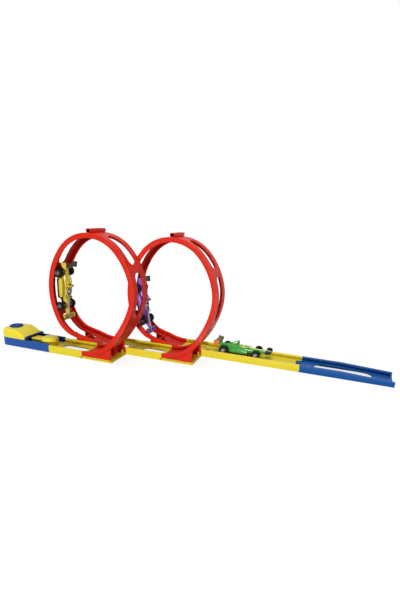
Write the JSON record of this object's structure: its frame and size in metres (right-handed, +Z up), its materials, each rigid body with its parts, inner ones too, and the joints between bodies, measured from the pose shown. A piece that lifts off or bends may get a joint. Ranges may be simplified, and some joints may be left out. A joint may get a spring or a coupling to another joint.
{
  "type": "toy car loop track set",
  "caption": "Spring-launched toy car track: lane-changing vertical loops on snap-together channel lanes, a run-out, an exit ramp and small racing cars.",
  "frame": {"origin": "on the table under the middle of the first loop, on the first lane's centre line", "axes": "+X along the track from the launcher to the exit ramp, +Y away from the front lane, +Z up"},
  "size_m": [0.5875, 0.124, 0.1856],
  "materials": {
    "launcher_blue": "moulded, satin gloss",
    "launcher_yellow": "moulded, satin gloss",
    "mouth_navy": "moulded, satin",
    "button_blue": "moulded, glossy",
    "lever_white": "moulded, plain",
    "steel": "drawn",
    "spring_steel": "drawn wire",
    "track_yellow": "moulded, satin gloss",
    "loop_red": "moulded, satin gloss",
    "ramp_blue": "moulded, satin gloss",
    "green_paint": "gloss enamel",
    "yellow_paint": "gloss enamel",
    "purple_paint": "gloss enamel",
    "brown_plastic": "moulded, plain",
    "black_plastic": "moulded, plain",
    "olive_plastic": "moulded, plain",
    "dark_plastic": "moulded, plain",
    "wheel_black": "moulded, matt tread"
  },
  "bodies": {
    "track": {"launcher_base": "launcher_blue", "launcher_hood": "launcher_yellow", "mouth_frame": "mouth_navy", "sear_pin": "steel", "sear_spring": "spring_steel", "guide_rod": "steel", "striker_spring": "spring_steel", "hood_screws": "steel", "loop_base_1": "track_yellow", "loop_base_2": "track_yellow", "loop_1_rising_half": "loop_red", "loop_1_falling_half": "loop_red", "loop_1_clip": "loop_red", "loop_2_rising_half": "loop_red", "loop_2_falling_half": "loop_red", "loop_2_clip": "loop_red", "run_out_track": "track_yellow", "exit_ramp": "ramp_blue"},
    "button": {"launch_button": "button_blue"},
    "lever": {"sear_lever": "lever_white"},
    "striker": {"striker": "launcher_yellow"},
    "green_car": {"green_car_body": "green_paint", "green_car_chassis": "brown_plastic", "green_car_rear_wing": "olive_plastic", "green_car_front_wing": "black_plastic"},
    "green_rear_wheelset": {"green_car_rear_axle": "steel", "green_car_rear_wheels": "wheel_black"},
    "green_front_wheelset": {"green_car_front_axle": "steel", "green_car_front_wheels": "wheel_black"},
    "yellow_car": {"yellow_car_body": "yellow_paint", "yellow_car_chassis": "black_plastic", "yellow_car_rear_wing": "dark_plastic", "yellow_car_front_wing": "black_plastic"},
    "yellow_rear_wheelset": {"yellow_car_rear_axle": "steel", "yellow_car_rear_wheels": "wheel_black"},
    "yellow_front_wheelset": {"yellow_car_front_axle": "steel", "yellow_car_front_wheels": "wheel_black"},
    "purple_car": {"purple_car_body": "purple_paint", "purple_car_chassis": "black_plastic", "purple_car_rear_wing": "dark_plastic", "purple_car_front_wing": "black_plastic"},
    "purple_rear_wheelset": {"purple_car_rear_axle": "steel", "purple_car_rear_wheels": "wheel_black"},
    "purple_front_wheelset": {"purple_car_front_axle": "steel", "purple_car_front_wheels": "wheel_black"}
  },
  "joints": [
    {"name": "button_press", "type": "slide", "parent": "track", "child": "button", "axis": [0, 0, -1], "range_m": [0, 0.0025], "stiffness_N_per_m": 300, "springref_m": -0.002},
    {"name": "lever_rock", "type": "hinge", "parent": "track", "child": "lever", "pos_m": [-0.13115, 0, 0.0185], "axis": [0, 1, 0], "range_deg": [-17.5, 0], "deforming": ["sear_spring"]},
    {"name": "striker_draw", "type": "slide", "parent": "track", "child": "striker", "axis": [-1, 0, 0], "range_m": [0, 0.015], "stiffness_N_per_m": 150, "deforming": ["striker_spring"]},
    {"name": "green_car_run", "type": "slide", "parent": "track", "child": "green_car", "axis": [1, 0, 0], "range_m": [-0.04, 0.12]},
    {"name": "green_rear_roll", "type": "hinge", "parent": "green_car", "child": "green_rear_wheelset", "pos_m": [0.1855, 0.084, 0.0132], "axis": [0, 1, 0], "range_deg": [-500, 1400]},
    {"name": "green_front_roll", "type": "hinge", "parent": "green_car", "child": "green_front_wheelset", "pos_m": [0.2365, 0.084, 0.0128], "axis": [0, 1, 0], "range_deg": [-500, 1400]},
    {"name": "yellow_car_run", "type": "hinge", "parent": "track", "child": "yellow_car", "pos_m": [0.02879, 0.021, 0.092], "axis": [0, 1, 0], "range_deg": [-8, 20]},
    {"name": "yellow_rear_roll", "type": "hinge", "parent": "yellow_car", "child": "yellow_rear_wheelset", "pos_m": [-0.05918, 0.021, 0.1175], "axis": [0, 1, 0], "range_deg": [-420, 200]},
    {"name": "yellow_front_roll", "type": "hinge", "parent": "yellow_car", "child": "yellow_front_wheelset", "pos_m": [-0.05958, 0.021, 0.0665], "axis": [0, 1, 0], "range_deg": [-420, 200]},
    {"name": "purple_car_run", "type": "hinge", "parent": "track", "child": "purple_car", "pos_m": [0.13679, 0.0644, 0.092], "axis": [0, 1, 0], "range_deg": [0, 38]},
    {"name": "purple_rear_roll", "type": "hinge", "parent": "purple_car", "child": "purple_rear_wheelset", "pos_m": [0.04534, 0.0644, 0.09706], "axis": [0, 1, 0], "range_deg": [-760, 200]},
    {"name": "purple_front_roll", "type": "hinge", "parent": "purple_car", "child": "purple_front_wheelset", "pos_m": [0.05642, 0.0644, 0.04727], "axis": [0, 1, 0], "range_deg": [-760, 200]}
  ],
  "couplings": [
    {"joint": "lever_rock", "follows": "button_press", "rad_per_m": -118},
    {"joint": "green_rear_roll", "follows": "green_car_run", "rad_per_m": 142.86},
    {"joint": "green_front_roll", "follows": "green_car_run", "rad_per_m": 151.52},
    {"joint": "yellow_rear_roll", "follows": "yellow_car_run", "ratio": -14.113},
    {"joint": "yellow_front_roll", "follows": "yellow_car_run", "ratio": -14.968},
    {"joint": "purple_rear_roll", "follows": "purple_car_run", "ratio": -14.113},
    {"joint": "purple_front_roll", "follows": "purple_car_run", "ratio": -14.968}
  ]
}
